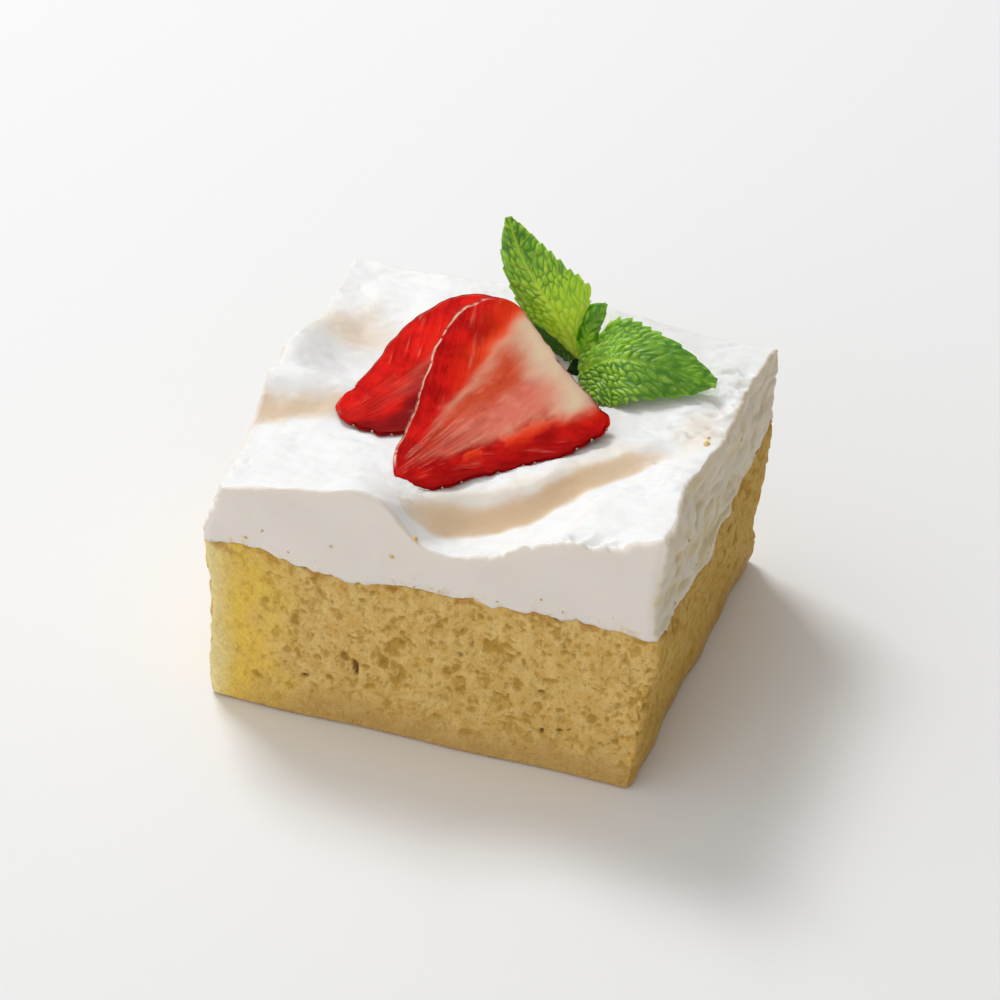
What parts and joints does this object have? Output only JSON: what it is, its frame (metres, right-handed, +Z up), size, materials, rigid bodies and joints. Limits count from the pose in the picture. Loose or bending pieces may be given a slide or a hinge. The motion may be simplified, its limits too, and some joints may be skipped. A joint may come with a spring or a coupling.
{
  "type": "slice of tres leches cake",
  "caption": "Square slice of milk-soaked sponge cake under an uneven layer of whipped cream, topped with sliced strawberry and a mint sprig.",
  "frame": {"origin": "middle of the bounding box's base, on the plane the slice stands on", "axes": "+Z up through the layers; -Y is the best-seen cut face; +X runs to the right along that face, the slice's longest extent"},
  "size_m": [0.078, 0.0694, 0.069],
  "materials": {
    "sponge": "open-pored moist yellow sponge crumb",
    "cream": "soft off-white whipped cream, satin",
    "strawberry": "wet red fruit, paler towards the calyx end",
    "mint_leaf": "quilted fresh green leaf with a satin sheen",
    "mint_stem": "dark green soft stem"
  },
  "bodies": {
    "root": {"sponge": "sponge", "cream": "cream", "strawberry_front": "strawberry", "strawberry_back": "strawberry", "mint_leaf_left": "mint_leaf", "mint_leaf_right": "mint_leaf", "mint_leaf_small": "mint_leaf", "mint_stem": "mint_stem"}
  },
  "joints": []
}
